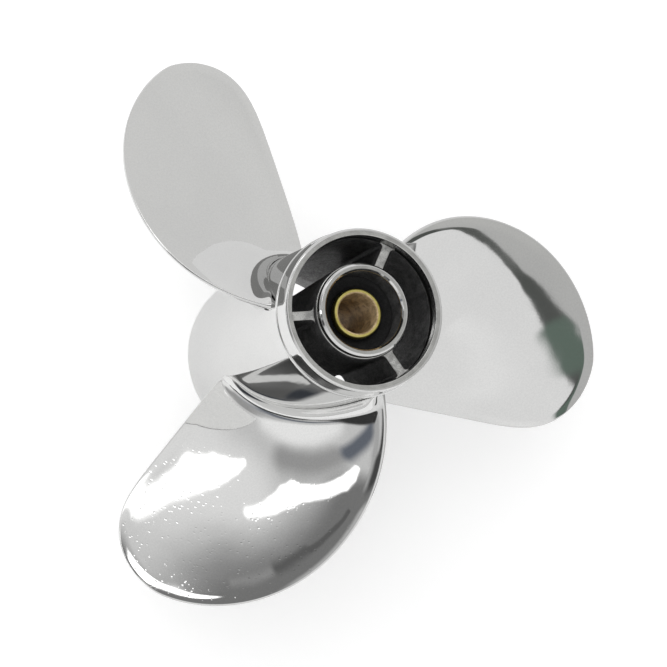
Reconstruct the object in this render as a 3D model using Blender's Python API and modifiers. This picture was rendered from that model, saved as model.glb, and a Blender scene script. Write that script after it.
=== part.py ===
"""Three-blade through-hub exhaust propeller for a small outboard, right-hand rotation.

Frame: the shaft axis is +Z and points astern.  The hub's front rim stands on z = 0 and the
origin is on the axis there.  Blade 1 is centred on +X.  All lengths are in metres.
"""

import math

import bmesh
import bpy
from mathutils import Matrix

# Propeller
DIAMETER = 0.235
PITCH = 0.2286
BLADE_COUNT = 3
SEAT_GAP = 0.0003

# Outer barrel
BARREL_LENGTH = 0.1006
BARREL_FRONT_RADIUS = 0.0339
BARREL_REAR_RADIUS = 0.0309
FRONT_ROUND = 0.0020
BORE_FRONT_RADIUS = 0.0306
BORE_THROAT_RADIUS = 0.0279
BORE_REAR_RADIUS = 0.0280
BORE_THROAT_START = 0.050

# Rear exhaust ring
RING_FRONT = 0.1009
RING_REAR = 0.1117
RING_FRONT_RADIUS = 0.0318
RING_REAR_RADIUS = 0.0311
RING_ROUND = 0.0008
RING_LIP_BORE_RADIUS = 0.0284
RING_LEDGE = 0.1057

# Inner hub tube
INNER_FRONT = 0.012
INNER_REAR = 0.1120
INNER_RADIUS = 0.0174
INNER_SHOULDER_RADIUS = 0.0184
INNER_SHOULDER = 0.1087
INNER_END_RADIUS = 0.0177
INNER_BORE_RADIUS = 0.0149

# Rubber bush and splined sleeve
BUSH_FRONT = 0.016
BUSH_REAR = 0.1010
SLEEVE_FRONT = 0.0135
SLEEVE_REAR = 0.1043
SLEEVE_RADIUS = 0.00945
SLEEVE_BORE_RADIUS = 0.0076
SPLINE_MINOR_RADIUS = 0.0066
SPLINE_START = 0.012
SPLINE_END = 0.056
SPLINE_TEETH = 14

# Ribs between the inner hub and the barrel
RIB_FRONT = 0.0577
RIB_REAR = 0.1068
RIB_THICKNESS = 0.0040
RIB_FILLET = 0.0018

# Blade outline: half width along the arc and mid angle, both against the span fraction
BLADE_ROOT_RADIUS = 0.0330
BLADE_CENTRE_Z = 0.0516
PROGRESSIVE_PITCH = 0.0161
HALF_WIDTH_TERMS = (0.0262, 0.0436, -0.0380)
TIP_ROUNDNESS = 8.44
TIP_CLOSING = 0.61
MID_ANGLE_TERMS = (3.6, 13.1, -42.4, 17.8)

# Blade section
EDGE_THICKNESS = 0.0018
ROOT_THICKNESS = 0.0075
TIP_THICKNESS = 0.0020
ROOT_FILLET = 0.0040

SPAN_ROWS = 20
CHORD_COLUMNS = 14
ROOT_STRIPS = 4
TURN_STEPS = 72

part_collection = None
cutter_collection = None


def start_scene():
    """Empties the scene and makes one collection for the propeller and one for its cutters."""
    global part_collection, cutter_collection
    for obj in list(bpy.data.objects):
        bpy.data.objects.remove(obj)
    part_collection = bpy.data.collections.new("propeller")
    cutter_collection = bpy.data.collections.new("cutters")
    cutter_collection.hide_render = True
    bpy.context.scene.collection.children.link(part_collection)
    bpy.context.scene.collection.children.link(cutter_collection)


def make_material(name, colour, metallic, roughness):
    material = bpy.data.materials.new(name)
    material.use_nodes = True
    shader = material.node_tree.nodes["Principled BSDF"]
    shader.inputs["Base Color"].default_value = (*colour, 1.0)
    shader.inputs["Metallic"].default_value = metallic
    shader.inputs["Roughness"].default_value = roughness
    return material


def new_object(name, mesh, material=None, collection=None):
    obj = bpy.data.objects.new(name, mesh)
    (collection or part_collection).objects.link(obj)
    if material:
        mesh.materials.append(material)
    return obj


def shade(mesh, degrees=35.0):
    mesh.shade_smooth()
    mesh.set_sharp_from_angle(angle=math.radians(degrees))


def turned(name, outside, inside, material, steps=TURN_STEPS, collection=None):
    """Turns a closed profile about Z.  Both lists hold (radius, z) and run from front to rear."""
    profile = list(reversed(outside)) + list(inside)
    vertices = [(radius, 0.0, z) for radius, z in profile]
    count = len(vertices)
    edges = [(i, (i + 1) % count) for i in range(count)]
    mesh = bpy.data.meshes.new(name)
    mesh.from_pydata(vertices, edges, [])
    obj = new_object(name, mesh, material, collection)
    screw = obj.modifiers.new("turn", "SCREW")
    screw.axis = "Z"
    screw.steps = steps
    screw.render_steps = steps
    screw.use_merge_vertices = True
    screw.merge_threshold = 0.00001
    screw.use_smooth_shade = True
    return obj


def quarter_round(centre_radius, centre_z, size, start_degrees, end_degrees, parts):
    """Points of a rounded corner as (radius, z), with the angle measured from the radial direction."""
    points = []
    for i in range(parts + 1):
        angle = math.radians(start_degrees + (end_degrees - start_degrees) * i / parts)
        points.append((centre_radius + size * math.cos(angle), centre_z + size * math.sin(angle)))
    return points


def barrel_radius(z):
    """Outer radius of the barrel's straight taper at a height above the front rim."""
    return BARREL_FRONT_RADIUS + (BARREL_REAR_RADIUS - BARREL_FRONT_RADIUS) * z / BARREL_LENGTH


def make_barrel(material):
    shoulder = barrel_radius(FRONT_ROUND)
    outside = quarter_round(shoulder - FRONT_ROUND, FRONT_ROUND, FRONT_ROUND, -90.0, 0.0, 4)
    outside.append((BARREL_REAR_RADIUS, BARREL_LENGTH))
    inside = [
        (BORE_FRONT_RADIUS, 0.0),
        (BORE_FRONT_RADIUS - 0.0010, 0.008),
        (BORE_THROAT_RADIUS + 0.0006, 0.024),
        (BORE_THROAT_RADIUS, BORE_THROAT_START),
        (BORE_REAR_RADIUS, BARREL_LENGTH),
    ]
    return turned("hub_barrel", outside, inside, material)


def make_ring(material):
    step = RING_FRONT_RADIUS - 0.0006
    outside = [(BARREL_REAR_RADIUS, RING_FRONT)]
    outside += quarter_round(step, RING_FRONT + 0.0008, 0.0006, -90.0, 0.0, 3)
    outside += quarter_round(RING_REAR_RADIUS - RING_ROUND, RING_REAR - RING_ROUND, RING_ROUND, 0.0, 90.0, 3)
    inside = [
        (BORE_REAR_RADIUS, RING_FRONT),
        (BORE_REAR_RADIUS, RING_LEDGE),
        (RING_LIP_BORE_RADIUS - 0.0001, RING_LEDGE + 0.0002),
        (RING_LIP_BORE_RADIUS - 0.0001, RING_REAR - 0.0004),
        (RING_LIP_BORE_RADIUS + 0.0002, RING_REAR),
    ]
    return turned("exhaust_ring", outside, inside, material)


def make_inner_hub(material):
    outside = [
        (INNER_RADIUS - 0.0010, INNER_FRONT),
        (INNER_RADIUS, INNER_FRONT + 0.0010),
        (INNER_RADIUS, RIB_FRONT),
        (INNER_SHOULDER_RADIUS, RIB_REAR),
        (INNER_SHOULDER_RADIUS, INNER_SHOULDER),
        (INNER_END_RADIUS, INNER_SHOULDER + 0.0005),
        (INNER_END_RADIUS, INNER_REAR - 0.0005),
        (INNER_END_RADIUS - 0.0006, INNER_REAR),
    ]
    inside = [
        (INNER_BORE_RADIUS + 0.0008, INNER_FRONT),
        (INNER_BORE_RADIUS, INNER_FRONT + 0.0008),
        (INNER_BORE_RADIUS, INNER_REAR - 0.0008),
        (INNER_BORE_RADIUS + 0.0006, INNER_REAR),
    ]
    return turned("inner_hub", outside, inside, material, 64)


def make_bush(material):
    outer = INNER_BORE_RADIUS - SEAT_GAP
    inner = SLEEVE_RADIUS + SEAT_GAP
    outside = [(outer - 0.0012, BUSH_FRONT), (outer, BUSH_FRONT + 0.0012), (outer, BUSH_REAR - 0.0012)]
    outside.append((outer - 0.0012, BUSH_REAR))
    inside = [(inner, BUSH_FRONT), (inner, BUSH_REAR)]
    return turned("rubber_bush", outside, inside, material, 48)


def spline_cutter():
    """A toothed bar that cuts the sleeve's spline grooves out to the full bore radius."""
    outline = []
    pitch_angle = 2.0 * math.pi / SPLINE_TEETH
    root = SPLINE_MINOR_RADIUS - 0.0006
    for tooth in range(SPLINE_TEETH):
        centre = tooth * pitch_angle
        for radius, share in ((root, -0.30), (SLEEVE_BORE_RADIUS, -0.22), (SLEEVE_BORE_RADIUS, 0.22), (root, 0.30)):
            angle = centre + share * pitch_angle
            outline.append((radius * math.cos(angle), radius * math.sin(angle)))
    bm = bmesh.new()
    corners = [bm.verts.new((x, y, SPLINE_START - 0.004)) for x, y in outline]
    bottom = bm.faces.new(corners)
    bottom.normal_update()
    top = bmesh.ops.extrude_face_region(bm, geom=[bottom])["geom"]
    moved = [item for item in top if isinstance(item, bmesh.types.BMVert)]
    bmesh.ops.translate(bm, verts=moved, vec=(0.0, 0.0, SPLINE_END + 0.0015 - (SPLINE_START - 0.004)))
    bmesh.ops.recalc_face_normals(bm, faces=bm.faces)
    mesh = bpy.data.meshes.new("spline_cutter")
    bm.to_mesh(mesh)
    bm.free()
    cutter = new_object("spline_cutter", mesh, None, cutter_collection)
    cutter.display_type = "WIRE"
    cutter.hide_render = True
    return cutter


def make_sleeve(material):
    chamfer = 0.0004
    outside = [
        (SLEEVE_RADIUS - chamfer, SLEEVE_FRONT),
        (SLEEVE_RADIUS, SLEEVE_FRONT + chamfer),
        (SLEEVE_RADIUS, SLEEVE_REAR - chamfer),
        (SLEEVE_RADIUS - chamfer, SLEEVE_REAR),
    ]
    inside = [
        (SLEEVE_BORE_RADIUS - 0.0002, SLEEVE_FRONT),
        (SPLINE_MINOR_RADIUS, SLEEVE_FRONT + 0.0010),
        (SPLINE_MINOR_RADIUS, SPLINE_END),
        (SLEEVE_BORE_RADIUS, SPLINE_END + 0.0020),
        (SLEEVE_BORE_RADIUS, SLEEVE_REAR - chamfer),
        (SLEEVE_BORE_RADIUS + chamfer, SLEEVE_REAR),
    ]
    sleeve = turned("splined_sleeve", outside, inside, material, 56)
    cut = sleeve.modifiers.new("splines", "BOOLEAN")
    cut.operation = "DIFFERENCE"
    cut.solver = "EXACT"
    cut.object = spline_cutter()
    return sleeve


def arc_points(radius, half_width, parts):
    """Points across a rib's end on a circle about the shaft axis, from one side to the other."""
    half_angle = math.asin(half_width / radius)
    angles = [half_angle * (2.0 * i / parts - 1.0) for i in range(parts + 1)]
    return [(radius * math.cos(angle), radius * math.sin(angle)) for angle in angles]


def make_rib(name, angle, material):
    """A straight web with a small fillet at each end, whose inner end follows the hub tube's taper."""
    inner = INNER_RADIUS + SEAT_GAP
    outer = BORE_THROAT_RADIUS - SEAT_GAP
    half = RIB_THICKNESS / 2.0
    wide = half + RIB_FILLET
    inner_end = arc_points(inner, wide, 4)
    outer_end = arc_points(outer, wide, 4)
    flank = []
    for along, across in ((0.25, 0.55), (0.60, 0.18), (1.0, 0.0)):
        flank.append((inner + RIB_FILLET * along, half + RIB_FILLET * across))
    for along, across in ((1.0, 0.0), (0.60, 0.18), (0.25, 0.55)):
        flank.append((outer - RIB_FILLET * along, half + RIB_FILLET * across))
    outline = inner_end + flank + list(reversed(outer_end)) + [(x, -y) for x, y in reversed(flank)]
    bm = bmesh.new()
    corners = [bm.verts.new((x, y, RIB_FRONT)) for x, y in outline]
    base = bm.faces.new(corners)
    base.normal_update()
    top = bmesh.ops.extrude_face_region(bm, geom=[base])["geom"]
    moved = [item for item in top if isinstance(item, bmesh.types.BMVert)]
    bmesh.ops.translate(bm, verts=moved, vec=(0.0, 0.0, RIB_REAR - RIB_FRONT))
    hub_side = [vertex for vertex in moved if vertex.co.x < (inner + outer) / 2.0]
    bmesh.ops.translate(bm, verts=hub_side, vec=(INNER_SHOULDER_RADIUS - INNER_RADIUS, 0.0, 0.0))
    bmesh.ops.recalc_face_normals(bm, faces=bm.faces)
    mesh = bpy.data.meshes.new(name)
    bm.to_mesh(mesh)
    bm.free()
    rib = new_object(name, mesh, material)
    rib.rotation_euler = (0.0, 0.0, angle)
    return rib


def polynomial(terms, value):
    total = 0.0
    for power, term in enumerate(terms):
        total += term * value**power
    return total


def outline_angles(radius):
    """Leading and trailing edge angles at a radius, from the half width and the mid angle."""
    span = (radius - BLADE_ROOT_RADIUS) / (DIAMETER / 2.0 - BLADE_ROOT_RADIUS)
    closing = max(0.0, 1.0 - max(0.0, span) ** TIP_ROUNDNESS) ** TIP_CLOSING
    half_angle = polynomial(HALF_WIDTH_TERMS, span) * closing / radius
    middle = math.radians(polynomial(MID_ANGLE_TERMS, span))
    return middle - half_angle, middle + half_angle


def datum_height(angle):
    """Height of the blade's middle surface: a screw surface whose pitch grows towards the trailing edge."""
    return BLADE_CENTRE_Z + PITCH * angle / (2.0 * math.pi) + PROGRESSIVE_PITCH * angle * angle


def blade_point(span_share, chord_share, depth_share):
    """A point of the blade.  depth_share runs from 0 on the forward face to 1 on the after face."""
    tip_radius = DIAMETER / 2.0
    nominal = BLADE_ROOT_RADIUS + (tip_radius - BLADE_ROOT_RADIUS) * span_share
    leading, trailing = outline_angles(nominal)
    angle = leading + (trailing - leading) * chord_share
    height = datum_height(angle)
    slope = PITCH / (2.0 * math.pi) + 2.0 * PROGRESSIVE_PITCH * angle
    pitch_angle = math.atan2(slope, nominal)

    thickness = ROOT_THICKNESS + (TIP_THICKNESS - ROOT_THICKNESS) * span_share**0.7
    belly = (thickness - EDGE_THICKNESS) * (1.0 - abs(2.0 * chord_share - 1.0) ** 2.2)
    clear = (tip_radius - BLADE_ROOT_RADIUS) * span_share
    from_edge = min(chord_share, 1.0 - chord_share) * (trailing - leading) * nominal / math.cos(pitch_angle)
    flare = 0.0
    if clear < ROOT_FILLET:
        flare = ROOT_FILLET - math.sqrt(ROOT_FILLET**2 - (ROOT_FILLET - clear) ** 2)
        flare *= min(1.0, from_edge / ROOT_FILLET)
    after = EDGE_THICKNESS / 2.0 + flare
    forward = EDGE_THICKNESS / 2.0 + max(0.0, belly) + flare
    offset = after * depth_share - forward * (1.0 - depth_share)

    angle -= offset * math.sin(pitch_angle) / nominal
    height += offset * math.cos(pitch_angle)
    seat = barrel_radius(height) + SEAT_GAP - BLADE_ROOT_RADIUS
    radius = nominal + seat * (1.0 - span_share) ** 3
    return radius * math.cos(angle), radius * math.sin(angle), height


def blade_mesh():
    """Joins the two blade faces round the outline, and closes the root with strips on the barrel's curve."""
    rows = [math.sin(0.5 * math.pi * i / SPAN_ROWS) for i in range(SPAN_ROWS)]
    rows[0] = 0.0
    rows.insert(1, 0.012)
    rows.insert(2, 0.030)
    rows.append(0.9994)
    columns = [0.5 - 0.5 * math.cos(math.pi * i / CHORD_COLUMNS) for i in range(CHORD_COLUMNS + 1)]
    bm = bmesh.new()
    after = [[bm.verts.new(blade_point(row, column, 1.0)) for column in columns] for row in rows]
    forward = [[bm.verts.new(blade_point(row, column, 0.0)) for column in columns] for row in rows]
    last_row = len(rows) - 1
    last_column = len(columns) - 1
    for i in range(last_row):
        for j in range(last_column):
            bm.faces.new((after[i][j], after[i][j + 1], after[i + 1][j + 1], after[i + 1][j]))
            bm.faces.new((forward[i][j], forward[i + 1][j], forward[i + 1][j + 1], forward[i][j + 1]))

    strips = []
    for k in range(ROOT_STRIPS + 1):
        depth = 1.0 - k / ROOT_STRIPS
        if k == 0:
            strips.append(after[0])
        elif k == ROOT_STRIPS:
            strips.append(forward[0])
        else:
            strips.append([bm.verts.new(blade_point(0.0, column, depth)) for column in columns])
    for upper, lower in zip(strips, strips[1:]):
        for j in range(last_column):
            bm.faces.new((upper[j], lower[j], lower[j + 1], upper[j + 1]))

    for j in range(last_column):
        bm.faces.new((after[last_row][j], after[last_row][j + 1], forward[last_row][j + 1], forward[last_row][j]))
    for i in range(last_row):
        for j, side in ((0, 1), (last_column, -1)):
            if i == 0:
                chain = [strip[j] for strip in strips]
                loop = chain + [forward[1][j], after[1][j]]
            else:
                loop = [after[i][j], forward[i][j], forward[i + 1][j], after[i + 1][j]]
            bm.faces.new(loop if side > 0 else list(reversed(loop)))
    bmesh.ops.recalc_face_normals(bm, faces=bm.faces)
    mesh = bpy.data.meshes.new("blade")
    bm.to_mesh(mesh)
    bm.free()
    shade(mesh, 40.0)
    return mesh


def main():
    start_scene()
    polished = make_material("polished_stainless", (0.78, 0.78, 0.77), 1.0, 0.12)
    satin = make_material("satin_stainless", (0.66, 0.66, 0.64), 1.0, 0.30)
    rubber = make_material("black_rubber", (0.012, 0.012, 0.013), 0.0, 0.65)
    brass = make_material("yellow_brass", (0.70, 0.58, 0.20), 1.0, 0.32)

    make_barrel(polished)
    make_ring(polished)
    make_inner_hub(satin)
    make_bush(rubber)
    make_sleeve(brass)

    shared_blade = blade_mesh()
    shared_blade.materials.append(polished)
    for number in range(BLADE_COUNT):
        turn = 2.0 * math.pi * number / BLADE_COUNT
        blade = new_object(f"blade_{number + 1}", shared_blade)
        blade.matrix_world = Matrix.Rotation(turn, 4, "Z")
        make_rib(f"rib_{number + 1}", turn + math.pi / BLADE_COUNT, satin)
    bpy.context.view_layer.update()


main()
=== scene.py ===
"""Polished stainless outboard propeller: the dressed pieces, finishes, camera and light.

Frame: +Z is the shaft axis and points astern, z = 0 is the hub's front rim, blade 1 is centred on +X.
All lengths are in metres and repeat the part's own named values.
"""

import math

import bmesh
import bpy
import numpy as np
from mathutils import Matrix, Vector


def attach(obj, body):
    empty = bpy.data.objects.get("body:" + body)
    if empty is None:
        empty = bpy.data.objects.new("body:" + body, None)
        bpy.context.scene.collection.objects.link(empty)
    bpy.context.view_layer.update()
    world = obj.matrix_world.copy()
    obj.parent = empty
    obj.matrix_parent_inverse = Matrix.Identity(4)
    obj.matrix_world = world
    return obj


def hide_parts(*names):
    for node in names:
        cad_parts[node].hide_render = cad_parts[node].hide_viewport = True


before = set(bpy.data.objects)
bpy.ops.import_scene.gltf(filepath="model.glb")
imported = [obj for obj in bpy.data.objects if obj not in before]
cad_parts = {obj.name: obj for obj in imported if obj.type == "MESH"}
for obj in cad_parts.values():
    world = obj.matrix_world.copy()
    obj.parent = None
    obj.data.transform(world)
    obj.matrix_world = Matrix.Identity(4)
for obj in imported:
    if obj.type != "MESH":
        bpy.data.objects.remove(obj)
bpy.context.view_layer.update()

# Propeller
TIP_RADIUS = 0.1175
PITCH = 0.2286
BLADE_COUNT = 3

# Outer barrel and exhaust ring
BARREL_LENGTH = 0.1006
BARREL_FRONT_RADIUS = 0.0339
BARREL_REAR_RADIUS = 0.0309
FRONT_ROUND = 0.0012
BORE_FRONT_RADIUS = 0.0326
BORE_THROAT_RADIUS = 0.0279
BORE_REAR_RADIUS = 0.0280
BORE_THROAT_START = 0.050
RING_FRONT = 0.1009
RING_REAR = 0.1117
RING_FRONT_RADIUS = 0.0318
RING_REAR_RADIUS = 0.0311
RING_ROUND = 0.0009
RING_BEAD = 0.0009
RING_WAIST_RADIUS = 0.0314
RING_LIP_BORE_RADIUS = 0.0284
RING_LEDGE = 0.1057

# Inner hub, bush and sleeve
INNER_FRONT = 0.012
INNER_REAR = 0.1120
INNER_RADIUS = 0.0174
INNER_SHOULDER_RADIUS = 0.0184
INNER_SHOULDER = 0.1087
INNER_END_RADIUS = 0.0177
INNER_BORE_RADIUS = 0.0149
BUSH_FRONT = 0.016
BUSH_REAR = 0.1010
SLEEVE_FRONT = 0.0135
SLEEVE_REAR = 0.1043
SLEEVE_RADIUS = 0.00945
SLEEVE_BORE_RADIUS = 0.0076
SPLINE_MINOR_RADIUS = 0.0066
SPLINE_END = 0.056
SPLINE_TEETH = 14

# Ribs
RIB_FRONT = 0.0577
RIB_REAR = 0.1068
RIB_THICKNESS = 0.0036
RIB_FILLET = 0.0014

# Blades
ROOT_RADIUS = 0.0330
BLADE_CENTRE_Z = 0.0516
PROGRESSIVE_PITCH = 0.0161
HALF_WIDTH_TERMS = (0.0262, 0.0436, -0.0380)
TIP_ROUNDNESS = 8.44
TIP_CLOSING = 0.61
MID_ANGLE_TERMS = (3.6, 13.1, -42.4, 17.8)
EDGE_THICKNESS = 0.0018
ROOT_THICKNESS = 0.0075
TIP_THICKNESS = 0.0020
ROOT_FILLET = 0.0055
EDGE_ROUND = 0.0007
EDGE_ROLL = 0.0003
EDGE_ROLL_WIDTH = 0.0045
CUP_CENTRE = (0.0464, -0.0188)
CUP_LINE_RADIUS = 0.0535
CUP_BEND = 0.0010
CUP_SLOPE = 0.0

# The photograph's camera, in the part's frame
CAMERA_TURN = math.radians(10.5375)
LENS_PIXELS = 5500.0
FRAME_PIXELS = 667.0

# Light: the floor's glow in reflections and straight to the camera, its painted light up through the hub, its half
# width and its reach to the right, and how far second reflections are dimmed
FLOOR_GLOW = 0.13
FLOOR_SEEN_GLOW = 0.28
# painted light: the floor inside the hub's front rim glows this strongly for every ray, where the hub's own shade
# falls
PAINTED_HUB_GLOW = 1.0
FLOOR_HALF = 0.45
FLOOR_EAST = 0.20
SECOND_REFLECTION = 0.35


# ---- surfaces

def mesh_from_grid(name, points, wrap_rows=False, wrap_columns=False, zones=None):
    """Quads between neighbouring points of a grid (rows x columns x 3); zones gives each row of quads its
    material index."""
    rows, columns = points.shape[:2]
    index = np.arange(rows * columns).reshape(rows, columns)
    if wrap_rows:
        index = np.vstack([index, index[:1]])
    if wrap_columns:
        index = np.hstack([index, index[:, :1]])
    quads = np.stack([index[:-1, :-1], index[:-1, 1:], index[1:, 1:], index[1:, :-1]], axis=-1)
    mesh = bpy.data.meshes.new(name)
    count = quads.shape[0] * quads.shape[1]
    mesh.vertices.add(rows * columns)
    mesh.vertices.foreach_set("co", points.astype(np.float32).ravel())
    mesh.loops.add(4 * count)
    mesh.loops.foreach_set("vertex_index", quads.astype(np.int32).ravel())
    mesh.polygons.add(count)
    mesh.polygons.foreach_set("loop_start", np.arange(0, 4 * count, 4, dtype=np.int32))
    if zones is not None:
        mesh.polygons.foreach_set("material_index", np.repeat(zones, quads.shape[1]).astype(np.int32))
    mesh.update(calc_edges=True)
    return mesh


def finish_mesh(mesh, merge=0.000002, sharp_degrees=40.0):
    """Merges doubled points on seams and poles, turns faces outwards and shades smooth up to an angle."""
    bm = bmesh.new()
    bm.from_mesh(mesh)
    bmesh.ops.remove_doubles(bm, verts=bm.verts, dist=merge)
    bmesh.ops.recalc_face_normals(bm, faces=bm.faces)
    bm.to_mesh(mesh)
    bm.free()
    mesh.shade_smooth()
    mesh.set_sharp_from_angle(angle=math.radians(sharp_degrees))
    return mesh


def piece(name, mesh, materials, slot, *nodes):
    """Links a finished mesh as a piece that rides on the propeller and stands for the named nodes."""
    obj = bpy.data.objects.new(name, mesh)
    bpy.context.scene.collection.objects.link(obj)
    for material in materials:
        mesh.materials.append(material)
    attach(obj, "root")
    if nodes:
        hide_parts(*nodes)
    return obj


def arc(centre_radius, centre_z, size, start_degrees, end_degrees, count=9):
    """Rounded corner as (radius, z): centre plus size times the cosine and sine of an angle that runs evenly
    from start to end."""
    angle = np.radians(np.linspace(start_degrees, end_degrees, count))
    return np.column_stack([centre_radius + size * np.cos(angle), centre_z + size * np.sin(angle)])


def line(*corners, step=0.002):
    """Straight runs through (radius, z) corners, cut into lengths of about one step."""
    corners = np.array(corners, float)
    runs = [corners[:1]]
    for start, end in zip(corners, corners[1:]):
        parts = max(1, int(round(np.linalg.norm(end - start) / step)))
        share = np.linspace(0.0, 1.0, parts + 1)[1:, None]
        runs.append(start + (end - start) * share)
    return np.vstack(runs)


def turned(name, parts, steps=288):
    """Closed profile turned about Z: x = radius cos(angle), y = radius sin(angle).  parts is a list of
    (points, zone), in order round the profile."""
    profile = np.vstack([points for points, zone in parts])
    zones = np.concatenate([np.full(len(points), zone) for points, zone in parts])
    angle = np.linspace(0.0, 2.0 * np.pi, steps, endpoint=False)
    radius, height = profile[:, 0, None], profile[:, 1, None]
    points = np.stack([radius * np.cos(angle), radius * np.sin(angle), height + 0.0 * angle], axis=-1)
    return finish_mesh(mesh_from_grid(name, points, True, True, zones), sharp_degrees=50.0)


def barrel_radius(z):
    """Outer radius of the barrel's straight taper at a height above the front rim."""
    return BARREL_FRONT_RADIUS + (BARREL_REAR_RADIUS - BARREL_FRONT_RADIUS) * z / BARREL_LENGTH


# ---- blades

def polynomial(terms, value):
    """Sum of each term times the value raised to the term's place."""
    return sum(term * value**power for power, term in enumerate(terms))


def outline_angles(radius):
    """Leading and trailing edge angles at a radius: mid angle less and plus the half width over the radius.
    The half width closes to nothing at the tip as (1 - span^TIP_ROUNDNESS)^TIP_CLOSING."""
    span = (radius - ROOT_RADIUS) / (TIP_RADIUS - ROOT_RADIUS)
    closing = np.clip(1.0 - np.clip(span, 0.0, 1.0) ** TIP_ROUNDNESS, 0.0, 1.0) ** TIP_CLOSING
    half = polynomial(HALF_WIDTH_TERMS, span) * closing / radius
    middle = np.radians(polynomial(MID_ANGLE_TERMS, span))
    return middle - half, middle + half


def datum_height(angle):
    """Screw surface height: pitch times the turned angle, plus a share of the angle squared."""
    return BLADE_CENTRE_Z + PITCH * angle / (2.0 * np.pi) + PROGRESSIVE_PITCH * angle**2


def on_datum(radius, angle):
    """Point of the screw surface at a radius and an angle."""
    return np.stack([radius * np.cos(angle), radius * np.sin(angle), datum_height(angle)], axis=-1)


def cup_rise(radius, angle):
    """Rise of the cupped margin: past a circle drawn on the blade it climbs at a steady slope, and the bend
    between is a soft corner, slope times bend times log(1 + exp(distance / bend))."""
    x = radius * np.cos(angle) - CUP_CENTRE[0]
    y = radius * np.sin(angle) - CUP_CENTRE[1]
    past = np.hypot(x, y) - CUP_LINE_RADIUS
    return CUP_SLOPE * CUP_BEND * np.logaddexp(0.0, past / CUP_BEND)


def camber(radius, angle):
    """The cup's rise less the straight line between its rises at the two edges, so the edges stay put."""
    leading, trailing = outline_angles(radius)
    share = np.clip((angle - leading) / np.maximum(trailing - leading, 1e-4), 0.0, 1.0)
    chord = (1.0 - share) * cup_rise(radius, leading) + share * cup_rise(radius, trailing)
    return cup_rise(radius, angle) - chord


def edge_curve(side, start_radius):
    """Leading (side 0) or trailing (side 1) edge from a radius to the tip as (radius, angle), with its
    running length; points crowd towards the tip, where the edge turns."""
    share = np.linspace(0.0, 1.0, 1200)
    radius = start_radius + (TIP_RADIUS - start_radius) * (1.0 - (1.0 - share) ** 2.4)
    angle = outline_angles(radius)[side]
    steps = np.linalg.norm(np.diff(on_datum(radius, angle), axis=0), axis=1)
    return np.column_stack([radius, angle]), np.concatenate([[0.0], np.cumsum(steps)])


def along(curve, length, wanted):
    """Points of a curve at the wanted running lengths."""
    return np.column_stack([np.interp(wanted, length, curve[:, k]) for k in range(2)])


def crowded(count):
    """Shares from 0 to 1 that crowd towards both ends as half a cosine wave."""
    return 0.5 - 0.5 * np.cos(np.pi * np.linspace(0.0, 1.0, count))


def planform(rows, columns, corner=0.60):
    """Coons patch over the blade outline in (radius, angle): its sides run up the two edges to a corner
    share of their length, its top goes round the tip, and its foot is the root line."""
    leading, leading_length = edge_curve(0, ROOT_RADIUS)
    trailing, trailing_length = edge_curve(1, ROOT_RADIUS)
    a = crowded(columns)
    b = crowded(rows)
    left = along(leading, leading_length, corner * leading_length[-1] * b)
    right = along(trailing, trailing_length, corner * trailing_length[-1] * b)
    over = np.vstack([leading, trailing[::-1][1:]])
    back = leading_length[-1] + (trailing_length[-1] - trailing_length[::-1][1:])
    over_length = np.concatenate([leading_length, back])
    start = corner * leading_length[-1]
    end = over_length[-1] - corner * trailing_length[-1]
    top = along(over, over_length, start + (end - start) * a)
    foot = leading[0] + (trailing[0] - leading[0]) * a[:, None]
    a, b = a[None, :, None], b[:, None, None]
    sides = (1.0 - a) * left[:, None] + a * right[:, None]
    ends = (1.0 - b) * foot[None] + b * top[None]
    corners = (1.0 - a) * ((1.0 - b) * foot[0] + b * top[0]) + a * ((1.0 - b) * foot[-1] + b * top[-1])
    patch = sides + ends - corners
    return patch[..., 0], patch[..., 1]


def distance_to_outline(radius, angle):
    """Shortest distance from each point of the screw surface to the blade's edge, taken to the edge's
    straight pieces, one grid row at a time."""
    leading, unused = edge_curve(0, ROOT_RADIUS - 0.008)
    trailing, unused = edge_curve(1, ROOT_RADIUS - 0.008)
    edge = np.vstack([leading[::3], leading[-1:], trailing[::-3]])
    edge = on_datum(edge[:, 0], edge[:, 1])
    start, run = edge[:-1], np.diff(edge, axis=0)
    keep = np.linalg.norm(run, axis=1) > 1e-9
    start, run = start[keep], run[keep]
    points = on_datum(radius, angle)
    nearest = np.empty(radius.shape)
    for i, row in enumerate(points):
        offset = row[:, None] - start[None]
        share = np.clip((offset * run).sum(-1) / (run * run).sum(-1), 0.0, 1.0)
        nearest[i] = np.linalg.norm(offset - share[..., None] * run, axis=-1).min(axis=1)
    return nearest


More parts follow.
